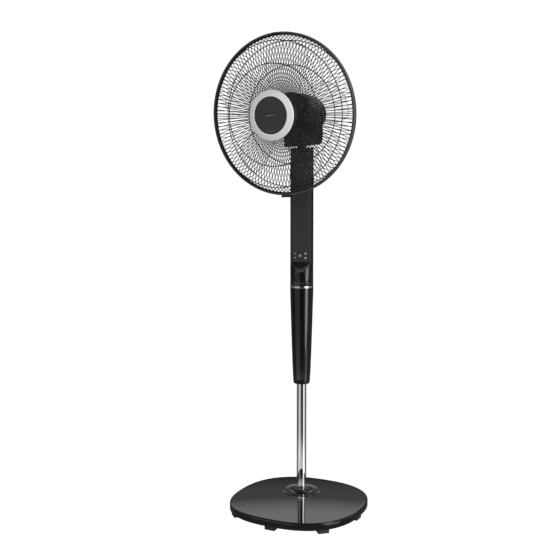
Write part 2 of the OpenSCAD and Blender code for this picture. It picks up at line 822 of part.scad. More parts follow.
// Three screw places behind the hub ring.
module badge_screw_places() {
    for (a = [90, 210, 330]) rotate([0, 0, a]) translate([56, 0, rim_s + cage_depth - 8]) children();
}

module badge_screws() {
    color([0.6, 0.6, 0.6]) on_axis() badge_screw_places() union() {
        cylinder(r = 1.6, h = 12);
        translate([0, 0, 3.4]) cylinder(r = 3, h = 2.4);
    }
}

base_cover();
base_weight();
base_underplate();
rubber_feet();
base_screws();
pole_flange();
pole_socket();
pole();
pole_bolt();
pole_bush();
sleeve();
sleeve_bush();
clamp_shoe();
lock_knob();
lock_screw();
trim_band();
column_shell();
front_panel();
column_cap();
cord_inlet();
shell_screws();
control_board();
tap_switches();
button_timer();
button_mode();
button_power();
button_speed();
button_swing();
drive_bracket();
swing_motor();
swing_pinion();
neck();
neck_gear();
neck_clip();
tilt_pin();
housing_body();
housing_top();
housing_screws();
motor_plate();
stator();
rear_bracket();
motor_bolts();
front_bearing();
rear_bearing();
run_capacitor();
rotor_core();
shaft();
fan_blades();
spinner_nut();
rear_grille();
grille_nut();
front_grille();
rim_band();
rim_clip();
rim_latch();
latch_pin();
hub_ring();
badge_disc();
badge_screws();
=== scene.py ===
"""A pedestal fan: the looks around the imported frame.

The pieces are made in millimetres and turned to metres when they are placed. The stage, the lights and the camera are
in metres.
"""

import json
import math

import bmesh
import bpy
from mathutils import Matrix, Vector

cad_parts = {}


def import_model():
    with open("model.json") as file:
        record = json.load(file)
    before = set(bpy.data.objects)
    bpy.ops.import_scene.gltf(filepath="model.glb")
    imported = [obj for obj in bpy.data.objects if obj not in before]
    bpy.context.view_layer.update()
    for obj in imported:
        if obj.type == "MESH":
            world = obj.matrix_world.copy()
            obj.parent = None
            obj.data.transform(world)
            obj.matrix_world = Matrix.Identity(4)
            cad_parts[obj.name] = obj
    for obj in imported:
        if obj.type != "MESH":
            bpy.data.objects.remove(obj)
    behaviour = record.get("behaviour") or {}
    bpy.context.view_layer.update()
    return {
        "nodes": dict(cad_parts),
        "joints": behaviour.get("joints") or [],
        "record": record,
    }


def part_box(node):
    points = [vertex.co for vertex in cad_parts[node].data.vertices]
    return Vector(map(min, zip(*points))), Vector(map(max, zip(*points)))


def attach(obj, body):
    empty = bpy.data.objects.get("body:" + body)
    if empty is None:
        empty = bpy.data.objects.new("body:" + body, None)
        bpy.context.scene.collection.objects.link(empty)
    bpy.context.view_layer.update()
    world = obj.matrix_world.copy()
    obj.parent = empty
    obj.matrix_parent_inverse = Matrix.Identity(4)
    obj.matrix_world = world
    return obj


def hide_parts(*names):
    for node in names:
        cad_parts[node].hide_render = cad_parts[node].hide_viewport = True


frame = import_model()
nodes = frame["nodes"]
joints = {j["name"]: j for j in frame["joints"]}

MM = 0.001

# Driving sizes. They are the same as the CAD's, apart from the silver band, which is lower here.
BASE_HALF = 186
BASE_POWER = 2.45
BASE_FORWARD = 57
BASE_TURN = 26 - 45
BASE_LIFT = 11
BASE_RIM = 30
BASE_DOME = 5
POLE_R = 14
POLE_FOOT = 18
POLE_TOP = 470
POLE_WALL = 1.5
SLEEVE_FOOT = 349
SLEEVE_FOOT_R = 23.4
SLEEVE_TOP = 624.7
BAND_FOOT = 624.9
BAND_TOP = 630.8
BAND_R = 33.4
KNOB_Z = 376
COLUMN_R = 33
COLUMN_FOOT = 631
COLUMN_TOP = 1009
PANEL_Y = 19
PANEL_FOOT = 640
PANEL_THICK = 2.5
SLOPE_TOP = 700
SLOPE_TALL = 20
KEYS_Z = 717
RIM_R = 215
RIM_S = 113
RIM_W = 14
CAGE_DEPTH = 57
HUB_R = 66
WIRES = 120
WIRE_R = 1.0
RING_R = 1.25
MIDDLE_RING = 133
EARS_X = 16
ROTOR_S = RIM_S - 8
BLADES = 5
BLADE_PITCH = 24


# ---------------------------------------------------------------- frames

def head_matrix():
    """The fan's own frame: Z forward along the shaft, X level, Y up, with its origin on the tilt pin's plane."""
    spin = joints["fan_spin"]
    z = Vector(spin["axis"]).normalized()
    x = Vector(joints["latch_swing"]["axis"]).normalized()
    y = z.cross(x).normalized()
    turn = Matrix((x, y, z)).transposed().to_4x4()
    return Matrix.Translation(Vector(spin["pos_m"])) @ turn @ Matrix.Scale(MM, 4)


HEAD = head_matrix()
WORLD = Matrix.Scale(MM, 4)
BASE = WORLD @ Matrix.Translation((0, -BASE_FORWARD, 0)) @ Matrix.Rotation(math.radians(BASE_TURN), 4, "Z")


# ---------------------------------------------------------------- mesh helpers

def piece(name, verts, faces, place, material, body, slot, replaced=(), smooth_angle=35):
    """A mesh piece from points in millimetres, riding on a body."""
    obj = plain_object(name, (verts, faces), place)
    dress(obj, material, body, replaced, smooth_angle)
    return obj


def plain_object(name, part, place):
    """A closed mesh object from points in millimetres, with no look and no body yet."""
    mesh = bpy.data.meshes.new(name)
    mesh.from_pydata([place @ Vector(v) for v in part[0]], [], part[1])
    bm = bmesh.new()
    bm.from_mesh(mesh)
    bmesh.ops.remove_doubles(bm, verts=bm.verts, dist=1e-6)
    bmesh.ops.recalc_face_normals(bm, faces=bm.faces)
    bm.to_mesh(mesh)
    bm.free()
    obj = bpy.data.objects.new(name, mesh)
    bpy.context.scene.collection.objects.link(obj)
    return obj


def dress(obj, look, body, replaced=(), smooth_angle=35):
    """Gives an object its look, and lets it ride on a body."""
    obj.data.materials.clear()
    obj.data.materials.append(look)
    soften(obj, smooth_angle)
    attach(obj, body)
    if replaced:
        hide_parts(*replaced)


def soften(obj, angle):
    """Smooth shading, with edges sharper than the angle kept crisp."""
    mesh = obj.data
    for face in mesh.polygons:
        face.use_smooth = True
    mesh.set_sharp_from_angle(angle=math.radians(angle))


def apply_modifiers(obj):
    """Bakes an object's modifiers into its mesh."""
    bpy.context.view_layer.update()
    evaluated = obj.evaluated_get(bpy.context.evaluated_depsgraph_get())
    mesh = bpy.data.meshes.new_from_object(evaluated)
    old = obj.data
    obj.modifiers.clear()
    obj.data = mesh
    bpy.data.meshes.remove(old)


def bevelled(obj, width, segments=3, angle=35):
    """Rounds an object's sharp edges by a width in millimetres."""
    mod = obj.modifiers.new("bevel", "BEVEL")
    mod.width = width * MM
    mod.segments = segments
    mod.limit_method = "ANGLE"
    mod.angle_limit = math.radians(angle)
    mod.use_clamp_overlap = True
    apply_modifiers(obj)
    soften(obj, angle)
    return obj


def fillet(points, size, steps=4, closed=True):
    """Rounds the corners of a line of points. size is one length, or one for each point."""
    pts = [Vector(p) for p in points]
    sizes = size if isinstance(size, (list, tuple)) else [size] * len(pts)
    out = []
    for i, p in enumerate(pts):
        if not closed and i in (0, len(pts) - 1):
            out.append(p)
            continue
        a, b = pts[i - 1], pts[(i + 1) % len(pts)]
        cut = min(sizes[i], 0.45 * (a - p).length, 0.45 * (b - p).length)
        if cut < 1e-4:
            out.append(p)
            continue
        start = p + (a - p).normalized() * cut
        end = p + (b - p).normalized() * cut
        for k in range(steps + 1):
            u = k / steps
            out.append(start * (1 - u) ** 2 + p * 2 * u * (1 - u) + end * u * u)
    return out


def lathe(profile, steps=96, closed=True, start=0.0, sweep=360.0):
    """Turns a profile of (radius, height) points round Z. A closed profile makes a ring."""
    verts, faces, rows = [], [], []
    whole = abs(sweep - 360) < 1e-6
    columns = steps if whole else steps + 1
    for r, z in profile:
        if r < 1e-6:
            rows.append([len(verts)] * columns)
            verts.append((0, 0, z))
            continue
        row = []
        for k in range(columns):
            a = math.radians(start + sweep * k / steps)
            row.append(len(verts))
            verts.append((r * math.cos(a), r * math.sin(a), z))
        rows.append(row)
    pairs = list(zip(rows, rows[1:]))
    if closed:
        pairs.append((rows[-1], rows[0]))
    for low, high in pairs:
        for k in range(steps):
            n = (k + 1) % columns
            corners = []
            for v in (low[k], low[n], high[n], high[k]):
                if v not in corners:
                    corners.append(v)
            if len(corners) > 2:
                faces.append(corners)
    return verts, faces


def tube(path, radius, sides=8, closed=False):
    """A round wire along a path of points."""
    pts = [Vector(p) for p in path]
    verts, faces, rows = [], [], []
    count = len(pts)
    normal = None
    for i, p in enumerate(pts):
        if closed:
            tangent = (pts[(i + 1) % count] - pts[i - 1]).normalized()
        else:
            tangent = (pts[min(i + 1, count - 1)] - pts[max(i - 1, 0)]).normalized()
        if normal is None:
            normal = tangent.orthogonal().normalized()
        normal = (normal - tangent * normal.dot(tangent)).normalized()
        side = tangent.cross(normal)
        row = []
        for k in range(sides):
            a = 2 * math.pi * k / sides
            row.append(len(verts))
            verts.append(p + radius * (math.cos(a) * normal + math.sin(a) * side))
        rows.append(row)
    pairs = list(zip(rows, rows[1:]))
    if closed:
        pairs.append((rows[-1], rows[0]))
    for low, high in pairs:
        for k in range(sides):
            n = (k + 1) % sides
            faces.append([low[k], low[n], high[n], high[k]])
    if not closed:
        faces.append(list(reversed(rows[0])))
        faces.append(rows[-1])
    return verts, faces


def ring(radius, height, wire, sides=8, steps=120):
    """A wire ring round Z."""
    circle = [(wire * math.cos(2 * math.pi * k / sides), wire * math.sin(2 * math.pi * k / sides))
              for k in range(sides)]
    return lathe([(radius + u, height + v) for u, v in circle], steps)


def merge(*parts):
    """Joins lists of points and faces."""
    verts, faces = [], []
    for part_verts, part_faces in parts:
        shift = len(verts)
        verts.extend(part_verts)
        faces.extend([[i + shift for i in face] for face in part_faces])
    return verts, faces


def moved(part, matrix):
    """A part with its points moved by a matrix."""
    verts, faces = part
    return [matrix @ Vector(v) for v in verts], faces


def prism(outline, z0, z1):
    """A straight extrusion of a flat outline."""
    count = len(outline)
    verts = [(x, y, z0) for x, y in outline] + [(x, y, z1) for x, y in outline]
    faces = [list(range(count - 1, -1, -1)), list(range(count, 2 * count))]
    faces += [[k, (k + 1) % count, count + (k + 1) % count, count + k] for k in range(count)]
    return verts, faces


def across(side, half):
    """A straight solid from x = -half to x = half, over an outline of (y, z) points."""
    count = len(side)
    verts = [(x, y, z) for x in (-half, half) for y, z in side]
    faces = [list(range(count)), list(range(2 * count - 1, count - 1, -1))]
    faces += [[k, count + k, count + (k + 1) % count, (k + 1) % count] for k in range(count)]
    return verts, faces


def block(x0, x1, y0, y1, z0, z1):
    """A plain block, to be bevelled or cut."""
    return prism([(x0, y0), (x1, y0), (x1, y1), (x0, y1)], z0, z1)


def boolean(obj, part, place, operation):
    """Cuts, joins or crosses an object with another part."""
    other = plain_object("cutter", part, place)
    mod = obj.modifiers.new("boolean", "BOOLEAN")
    mod.operation = operation
    mod.solver = "EXACT"
    mod.use_self = True
    mod.object = other
    apply_modifiers(obj)
    bpy.data.objects.remove(other)
    return obj


# ---------------------------------------------------------------- materials

def material(name, colour, rough, metallic=0.0, spread=0.12, grain=0.03, grain_scale=900.0, blotch=0.25,
             coat=0.0, alpha=1.0, specular=0.5, streak=None):
    """A surface with a fine moulded grain, uneven gloss and a slight variation of its colour."""
    mat = bpy.data.materials.new(name)
    mat.use_nodes = True
    tree = mat.node_tree
    shader = tree.nodes["Principled BSDF"]
    shader.inputs["Metallic"].default_value = metallic
    shader.inputs["Specular IOR Level"].default_value = specular
    shader.inputs["Coat Weight"].default_value = coat
    shader.inputs["Coat Roughness"].default_value = 0.04
    shader.inputs["Alpha"].default_value = alpha
    place = tree.nodes.new("ShaderNodeTexCoord")
    stretch = tree.nodes.new("ShaderNodeMapping")
    stretch.inputs["Scale"].default_value = streak or (1, 1, 1)
    tree.links.new(place.outputs["Object"], stretch.inputs["Vector"])

    broad = tree.nodes.new("ShaderNodeTexNoise")
    broad.inputs["Scale"].default_value = 9
    broad.inputs["Detail"].default_value = 4
    tree.links.new(stretch.outputs["Vector"], broad.inputs["Vector"])
    tone = tree.nodes.new("ShaderNodeMix")
    tone.data_type = "RGBA"
    tone.inputs["A"].default_value = (*[c * (1 - blotch) for c in colour], 1)
    tone.inputs["B"].default_value = (*[min(1, c * (1 + blotch)) for c in colour], 1)
    tree.links.new(broad.outputs["Fac"], tone.inputs["Factor"])
    tree.links.new(tone.outputs["Result"], shader.inputs["Base Color"])

    smudge = tree.nodes.new("ShaderNodeTexNoise")
    smudge.inputs["Scale"].default_value = 38
    smudge.inputs["Detail"].default_value = 6
    tree.links.new(stretch.outputs["Vector"], smudge.inputs["Vector"])
    gloss = tree.nodes.new("ShaderNodeMapRange")
    gloss.inputs["From Min"].default_value = 0.3
    gloss.inputs["From Max"].default_value = 0.7
    gloss.inputs["To Min"].default_value = rough * (1 - spread)
    gloss.inputs["To Max"].default_value = rough * (1 + spread)
    tree.links.new(smudge.outputs["Fac"], gloss.inputs["Value"])
    tree.links.new(gloss.outputs["Result"], shader.inputs["Roughness"])

    fine = tree.nodes.new("ShaderNodeTexNoise")
    fine.inputs["Scale"].default_value = grain_scale
    fine.inputs["Detail"].default_value = 3
    tree.links.new(stretch.outputs["Vector"], fine.inputs["Vector"])
    bump = tree.nodes.new("ShaderNodeBump")
    bump.inputs["Strength"].default_value = grain
    bump.inputs["Distance"].default_value = 0.0002
    tree.links.new(fine.outputs["Fac"], bump.inputs["Height"])
    tree.links.new(bump.outputs["Normal"], shader.inputs["Normal"])
    return mat


GLOSS = material("gloss_black", (0.0025, 0.0025, 0.0027), 0.09, grain=0.01, spread=0.25, coat=0.15,
                 specular=0.45)
BASE_GLOSS = material("base_black", (0.0025, 0.0025, 0.0027), 0.03, grain=0.006, spread=0.3, coat=0.15,
                      specular=0.45)
SATIN = material("satin_black", (0.006, 0.006, 0.0063), 0.36, grain=0.1, grain_scale=1400)
PANEL = material("panel_black", (0.0145, 0.0145, 0.0148), 0.42, grain=0.12, grain_scale=1600, blotch=0.12,
                 specular=0.35)
RUBBER = material("rubber", (0.012, 0.012, 0.012), 0.75, grain=0.3, grain_scale=700)
CHROME = material("chrome", (0.82, 0.82, 0.83), 0.05, metallic=1.0, grain=0.008, spread=0.4, blotch=0.02,
                  streak=(6, 6, 0.4))
# A darker copy of the panel's black for the sloped face under the flat front: painted shade.
SHADED_SLOPE = material("slope_painted_shade", (0.004, 0.004, 0.0041), 0.5, grain=0.1, grain_scale=1600, specular=0.15)
BAND = material("band_metal", (0.76, 0.76, 0.77), 0.2, metallic=1.0, grain=0.03, blotch=0.04, streak=(1, 1, 12))
SILVER = material("silver_paint", (0.50, 0.505, 0.515), 0.4, metallic=0.3, grain=0.08, grain_scale=2600,
                  blotch=0.05)
WIRE = material("wire_coat", (0.012, 0.012, 0.012), 0.5, grain=0.08, grain_scale=1200, specular=0.25)
RIM = material("rim_plastic", (0.030, 0.030, 0.0305), 0.4, grain=0.1, grain_scale=1400)
BADGE = material("badge_black", (0.008, 0.008, 0.0085), 0.22, grain=0.03, coat=0.25, blotch=0.15)
MARK = material("mark_grey", (0.12, 0.12, 0.125), 0.5, grain=0.05)
KEY = material("key_grey", (0.22, 0.22, 0.225), 0.45, grain=0.08)
KEY_DIM = material("key_dim", (0.12, 0.12, 0.125), 0.45, grain=0.08)
STEEL = material("zinc_steel", (0.55, 0.55, 0.54), 0.35, metallic=1.0, grain=0.1, blotch=0.12, streak=(1, 1, 5))
ALLOY = material("cast_alloy", (0.5, 0.5, 0.5), 0.5, metallic=1.0, grain=0.35, grain_scale=500, blotch=0.15)
BRASS = material("bearing_brass", (0.62, 0.47, 0.22), 0.4, metallic=1.0, grain=0.3)
NYLON = material("nylon", (0.72, 0.71, 0.66), 0.45, grain=0.1)
BOARD = material("board_green", (0.02, 0.12, 0.05), 0.4, grain=0.1, grain_scale=300)
IRON = material("cast_iron", (0.1, 0.1, 0.1), 0.7, metallic=0.6, grain=0.6, grain_scale=260)
BLADE = material("clear_blade", (0.10, 0.105, 0.11), 0.3, grain=0.01, alpha=0.07, blotch=0.05, specular=0.2)
BLADE_EDGE = material("blade_edge", (0.05, 0.05, 0.055), 0.3, grain=0.01, alpha=0.5, specular=0.2)

NODE_LOOKS = {
    "base_cover": BASE_GLOSS, "sleeve": GLOSS, "base_weight": IRON, "rubber_feet": RUBBER, "pole": CHROME,
    "trim_band": BAND, "hub_ring": SILVER, "front_panel": PANEL, "control_board": BOARD, "fan_blades": BLADE,
    "badge_disc": BADGE, "rear_grille": WIRE, "front_grille": WIRE, "rim_band": RIM,
}
SLOT_LOOKS = {
    "base_gloss": GLOSS, "foot_rubber": RUBBER, "counterweight": IRON, "body_satin": SATIN, "panel_satin": PANEL,
    "pole_chrome": CHROME, "trim_silver": BAND, "ring_silver": SILVER, "wire_black": WIRE, "blade_clear": BLADE,
    "steel_zinc": STEEL, "motor_steel": STEEL, "motor_alloy": ALLOY, "bearing_brass": BRASS, "bush_nylon": NYLON,
    "board_green": BOARD, "key_light": KEY,
}


def dress_nodes():
    """Gives every CAD node the look of its slot."""
    slots = {s["node"]: s["material_slot"] for s in frame["record"]["subparts"]}
    for name, obj in nodes.items():
        look = NODE_LOOKS.get(name) or SLOT_LOOKS[slots[name]]
        obj.data.materials.clear()
        obj.data.materials.append(look)


# ---------------------------------------------------------------- base

def outline_reach(angle):
    """Distance from the base's middle to its outline at an angle."""
    c = abs(math.cos(angle)) ** BASE_POWER
    s = abs(math.sin(angle)) ** BASE_POWER
    return BASE_HALF * (c + s) ** (-1 / BASE_POWER)


def base_shell():
    """The cover: a side wall, a rounded rim and a low dome."""
    steps = 192
    wall = 3
    edge = [(wall, BASE_RIM - wall), (wall, BASE_LIFT), (0.8, BASE_LIFT), (0, BASE_LIFT + 0.8), (0, BASE_RIM - 5)]
    round_steps = 8
    for k in range(round_steps + 1):
        a = math.radians(90 * k / round_steps)
        edge.append((4.2 * (1 - math.cos(a)), BASE_RIM - 3.6 + 4.2 * math.sin(a)))
    rings = 26
    reach_far = 1.1 * BASE_HALF
    verts, faces, rows = [], [], []
    rim_count = len(edge)
    for i in range(rim_count + rings):
        row = []
        for k in range(steps):
            a = 2 * math.pi * k / steps
            far = outline_reach(a)
            if i < rim_count:
                r, z = far - edge[i][0], edge[i][1]
                if i > 4:
                    crown = BASE_RIM + BASE_DOME * (1 - ((far - 4.2) / reach_far) ** 2)
                    z += crown - (BASE_RIM + 0.6)
                    z = min(z, crown)
            else:
                share = 1 - (i - rim_count + 1) / rings
                r = (far - 4.2) * share
                z = BASE_RIM + BASE_DOME * (1 - (r / reach_far) ** 2)
            row.append(len(verts))
            verts.append((r * math.cos(a), r * math.sin(a), z))
        rows.append(row)
    for low, high in zip(rows, rows[1:]):
        for k in range(steps):
            n = (k + 1) % steps
            faces.append([low[k], low[n], high[n], high[k]])
    piece("base_shell", verts, faces, BASE, BASE_GLOSS, "base", "base_gloss", ["base_cover"], 50)


def feet():
    """Eight moulded feet under the rim."""
    parts = []
    for i in range(8):
        a = math.radians(45 * i)
        far = outline_reach(a) - 4
        foot = prism([(far - 18, -15), (far, -15), (far, 15), (far - 18, 15)], 0, 11.4)
        parts.append(moved(foot, Matrix.Rotation(a, 4, "Z")))
    obj = piece("base_feet", *merge(*parts), BASE, RUBBER, "base", "foot_rubber", ["rubber_feet"])
    bevelled(obj, 1.6)


def pole_parts():
    """The dished flange, the collar and the chrome tube."""
    top = BASE_RIM + BASE_DOME
    flange = fillet([(27.2, top + 0.1), (57, top - 1.2), (57, top + 0.9), (53, top + 2.1), (38, top + 0.9),
                     (30, top + 1.2), (27.2, top + 2.6)], [0, 0.8, 1, 3, 4, 2, 0])
    piece("pole_dish", *lathe(flange, 128), WORLD, GLOSS, "base", "body_satin", ["pole_flange"], 60)
    collar = fillet([(POLE_R + 0.1, 20), (23.4, 20), (23.4, top + 1), (27, top + 1), (25.6, top + 5),
                     (22.6, top + 7), (POLE_R + 0.1, top + 7)], [0, 0, 0, 0.8, 2, 1.4, 0.6])
    piece("pole_collar", *lathe(collar, 96), WORLD, SATIN, "base", "body_satin", ["pole_socket"], 60)
    bore = POLE_R - POLE_WALL
    floor = POLE_FOOT + 6
    pole = [(bore, floor), (bore, POLE_TOP), (POLE_R, POLE_TOP), (POLE_R, POLE_FOOT), (0, POLE_FOOT), (0, floor)]
    piece("pole_tube", *lathe(pole, 128, closed=False), WORLD, CHROME, "base", "pole_chrome", ["pole"])


# ---------------------------------------------------------------- column

def sleeve_radius(share):
    """Outer radius of the sleeve at a share of its height."""
    return SLEEVE_FOOT_R + (BAND_R - SLEEVE_FOOT_R) * share ** 0.72


def sleeve_parts():
    """The tapered sleeve and the silver band on top of it."""
    low, high, steps = SLEEVE_FOOT, SLEEVE_TOP, 24
    outside = [(sleeve_radius(k / steps), low + 3 + (high - low - 3) * k / steps) for k in range(1, steps + 1)]
    foot = fillet([(POLE_R + 0.6, low + 3), (POLE_R + 0.6, low), (22, low), (sleeve_radius(0.01), low + 4.5)],
                  [0, 1, 3, 0], 5, closed=False)
    inside = [(30.6, high), (20.6, low + 6)]
    profile = foot + outside + inside
    piece("sleeve_shell", *lathe(profile, 128), WORLD, GLOSS, "column", "base_gloss", ["sleeve"], 40)
    band = fillet([(29, BAND_FOOT), (BAND_R, BAND_FOOT), (BAND_R, BAND_TOP), (29, BAND_TOP)], [0, 0.9, 0.9, 0])
    piece("silver_band", *lathe(band, 128), WORLD, BAND, "column", "trim_silver", ["trim_band"], 60)


def stadium(half, radius, steps=10):
    """Outline of a bar with round ends."""
    out = []
    for side, start in ((half, -90), (-half, 90)):
        for k in range(steps + 1):
            a = math.radians(start + 180 * k / steps)
            out.append((side + radius * math.cos(a), radius * math.sin(a)))
    return out


def knob():
    """The clamping knob: a bar with round ends on a short neck."""
    place = WORLD @ Matrix.Translation((0, 0, KNOB_Z)) @ Matrix.Rotation(math.radians(-90), 4, "X")
    bar = piece("clamp_bar", *prism(stadium(16, 6), 33.5, 43.5), place, SATIN, "knob", "body_satin",
                ["lock_knob"])
    bevelled(bar, 1.6)
    neck = fillet([(3.1, 27.5), (9, 27.5), (9, 34), (3.1, 34)], [0, 1, 0, 0])
    piece("clamp_neck", *lathe(neck, 48), place, SATIN, "knob", "body_satin")


def column_outline(inset, flat):
    """Outline of the column's section with its flat front."""
    radius = COLUMN_R - inset
    half = math.degrees(math.acos(flat / radius))
    steps = 64
    start = -90 + half
    return [(radius * math.cos(math.radians(start + (360 - 2 * half) * k / steps)),
             radius * math.sin(math.radians(start + (360 - 2 * half) * k / steps))) for k in range(steps + 1)]


def column_parts():
    """The round shell, the flat front with its sloped end, and the cap."""
    top = COLUMN_TOP
    gap = 0.35
    shell = plain_object("column_round", prism(circle_points(COLUMN_R, 128), COLUMN_FOOT, top), WORLD)
    boolean(shell, front_wedge(PANEL_THICK), WORLD, "DIFFERENCE")
    # Room for the pole, whose top comes up to here when the column is at its lowest.
    boolean(shell, prism(circle_points(POLE_R + 3, 64), 620, 700), WORLD, "DIFFERENCE")
    dress(shell, GLOSS, "column", ["column_shell"])
    bevelled(shell, 0.5, 2, 40)
    panel = plain_object("column_front", prism(circle_points(COLUMN_R, 128), PANEL_FOOT, top), WORLD)
    boolean(panel, front_wedge(PANEL_THICK - gap), WORLD, "INTERSECT")
    boolean(panel, front_wedge(0), WORLD, "DIFFERENCE")
    dress(panel, PANEL, "column", ["front_panel"])
    # The sloped faces take the darker black, which paints the shade they show.
    panel.data.materials.append(SHADED_SLOPE)
    for face in panel.data.polygons:
        if 0.1 < face.normal.z < 0.9:
            face.material_index = 1
    bevelled(panel, 0.7, 2, 40)
    cap = plain_object("column_lid", prism(column_outline(0, PANEL_Y), top + 0.2, top + 12), WORLD)
    dress(cap, SATIN, "column", ["column_cap"])
    bevelled(cap, 1.6, 3, 40)


def circle_points(radius, steps):
    """Points of a circle."""
    return [(radius * math.cos(2 * math.pi * k / steps), radius * math.sin(2 * math.pi * k / steps))
            for k in range(steps)]


def front_wedge(inset):
    """The space in front of the flat front and of the slope under it, extruded across the column."""
    flat = PANEL_Y - inset
    reach = COLUMN_R + 0.5 - inset
    foot = SLOPE_TOP - SLOPE_TALL - inset * 1.8
    over = COLUMN_TOP + 9
    side = [(-flat, over), (-flat, SLOPE_TOP - inset * 0.4), (-reach, foot), (-60, foot), (-60, over)]
    return across(side, 45)


BUTTONS = [("timer", -16.5, 6.5, 2.4, True), ("mode", -16.5, -5.5, 2.4, True), ("power", -2.9, 0, 4, True),
           ("speed", 12.5, 6.5, 2.8, False), ("swing", 12.5, -6.5, 2.8, False)]


def keys():
    """Five round keys with soft edges."""
    for name, x, z, radius, dim in BUTTONS:
        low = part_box("button_" + name)[0].y / MM
        cap = fillet([(0, 0), (radius, 0), (radius, 3.2), (radius + 1, 3.2), (radius + 1, 4), (0, 4)],
                     [0, 0.9, 0, 0, 0, 0], 4, closed=False)
        place = WORLD @ Matrix.Translation((x, low, KEYS_Z + z)) @ Matrix.Rotation(math.radians(-90), 4, "X")
        piece("key_" + name, *lathe(cap, 32, closed=False), place,
              KEY_DIM if dim else KEY, name + "_key", "key_light", ["button_" + name])


# ---------------------------------------------------------------- head

HOUSING = [(0, -73), (40, -73), (46, -70.5), (50, -65), (57, -20), (59, 20), (58, 50), (0, 50)]
CHIN = [(-49, -86.5), (50, -86.5), (63, -79), (72, -62), (74, -20), (62, 0), (-50, 0)]


def chin_solid(half):
    """The lower block in the fan's frame. The outline runs along -Z, which is towards the back."""
    return across([(up, -back) for back, up in CHIN], half)


def housing():
    """The motor housing: a round shell joined with its lower block, split at a seam, with side vents."""
    profile = fillet(HOUSING[1:-1], [0, 3, 4, 8, 8, 2], 5, closed=False)
    whole = [HOUSING[0]] + profile + [HOUSING[-1]]
    seam = 28
    far = 130
    for name, low, high, slot_node in (("housing_lower", -far, seam - 0.3, "housing_body"),
                                       ("housing_crown", seam + 0.3, far, "housing_top")):
        obj = plain_object(name, lathe(whole, 96, closed=False), HEAD)
        if name == "housing_lower":
            boolean(obj, chin_solid(32), HEAD, "UNION")
            for side in (-1, 1):
                for k in range(6):
                    up = -14 + 6 * k
                    x0, x1 = sorted((side * 50.5, side * 75))
                    boolean(obj, block(x0, x1, up, up + 2.4, -56, -20), HEAD, "DIFFERENCE")
            boolean(obj, block(-13.6, 13.6, -95, -56, -21, 21), HEAD, "DIFFERENCE")
        boolean(obj, block(-far, far, low, high, -far, far), HEAD, "INTERSECT")
        dress(obj, SATIN, "head", [slot_node])
        bevelled(obj, 1.2, 3, 32)


def grille(name, hub, depth, shoulder, outer, sign, node, phase=0.0):
    """Radial wires bent from the hub to the rim, with their rings welded inside."""
    corners = [(hub, depth - 1), (MIDDLE_RING, depth - 2.2), (outer, shoulder), (208.5, 3.4)]
    path = fillet(corners, [0, 26, 20, 0], 6, closed=False)
    parts = []
    for k in range(WIRES):
        a = 2 * math.pi * k / WIRES + phase
        line = [(p[0] * math.cos(a), p[0] * math.sin(a), RIM_S + sign * p[1]) for p in path]
        parts.append(tube(line, WIRE_R, 6))
    piece(name + "_wires", *merge(*parts), HEAD, WIRE, "head", "wire_black", [node], 60)
    rings = [ring(MIDDLE_RING, RIM_S + sign * (depth - 4.3), RING_R),
             ring(outer - 3.2, RIM_S + sign * (shoulder - 1.8), RING_R),
             ring(208.9, RIM_S + sign * 3, 2.0),
             ring(hub + 1.5, RIM_S + sign * (depth - 3.2), 1.5)]
    piece(name + "_rings", *merge(*rings), HEAD, WIRE, "head", "wire_black", (), 60)


def cage():
    """Both grilles, the rim, its clip and its latch."""
    grille("front", 60, CAGE_DEPTH, 35, 195, 1, "front_grille")
    grille("rear", 58, CAGE_DEPTH, 43, 199, -1, "rear_grille", math.pi / WIRES)
    half = RIM_W / 2
    lip, wall = RIM_R - 5, RIM_R - 2.5
    rim = fillet([(lip, -half), (RIM_R - 1, -half), (RIM_R, -half + 2), (RIM_R, half - 2), (RIM_R - 1, half),
                  (lip, half), (lip, half - 2), (wall, half - 2), (wall, -half + 2), (lip, -half + 2)],
                 [0.5, 1.2, 1.6, 1.6, 1.2, 0.5, 0.3, 0.3, 0.3, 0.3])
    place = HEAD @ Matrix.Translation((0, 0, RIM_S))
    ears = []
    for side in (-1, 1):
        x = side * EARS_X
        ears.append(block(x - 1.5, x + 1.5, -RIM_R - 5.2, -RIM_R + 1, -half, -half + 4.4))
    piece("cage_rim", *lathe(rim, 192), place, RIM, "head", "wire_black", ["rim_band"], 40)
    ears_obj = piece("latch_ears", *merge(*ears), place, RIM, "head", "wire_black")
    bevelled(ears_obj, 0.5, 2)
    clip = piece("cage_clip", *block(-9, 9, RIM_R - 6.5, RIM_R - 0.5, half + 0.1, half + 2.4), place, SATIN,
                 "head", "body_satin", ["rim_clip"])
    bevelled(clip, 0.9)
    latch = fillet([(-RIM_R - 5.3, -5), (-RIM_R - 5.3, 9), (-RIM_R - 0.3, 9), (-RIM_R - 0.3, -5),
                    (-RIM_R - 1.1, -7.1), (-RIM_R - 2.8, -7.5), (-RIM_R - 4.5, -7.1)],
                   [0.2, 1.5, 1, 0.2, 0.5, 0.8, 0.5], 3)
    latch_obj = piece("cage_latch", *across(latch, 14), place, SATIN, "latch", "body_satin", ["rim_latch"])
    bevelled(latch_obj, 0.6, 2)
    plate = fillet([(21, 0.2), (61, 0.2), (61, 2.6), (21, 2.6)], [0, 1, 1, 0])
    rear_place = HEAD @ Matrix.Translation((0, 0, RIM_S - CAGE_DEPTH))
    piece("rear_plate", *lathe(plate, 96), rear_place, WIRE, "head", "wire_black", (), 60)
    front_plate = fillet([(0, -2), (62, -2), (62, 0), (0, 0)], [0, 0.8, 0.8, 0], 3, closed=False)
    front_place = HEAD @ Matrix.Translation((0, 0, RIM_S + CAGE_DEPTH))
    piece("front_plate", *lathe(front_plate, 96, closed=False), front_place, SATIN, "head", "wire_black", (), 60)


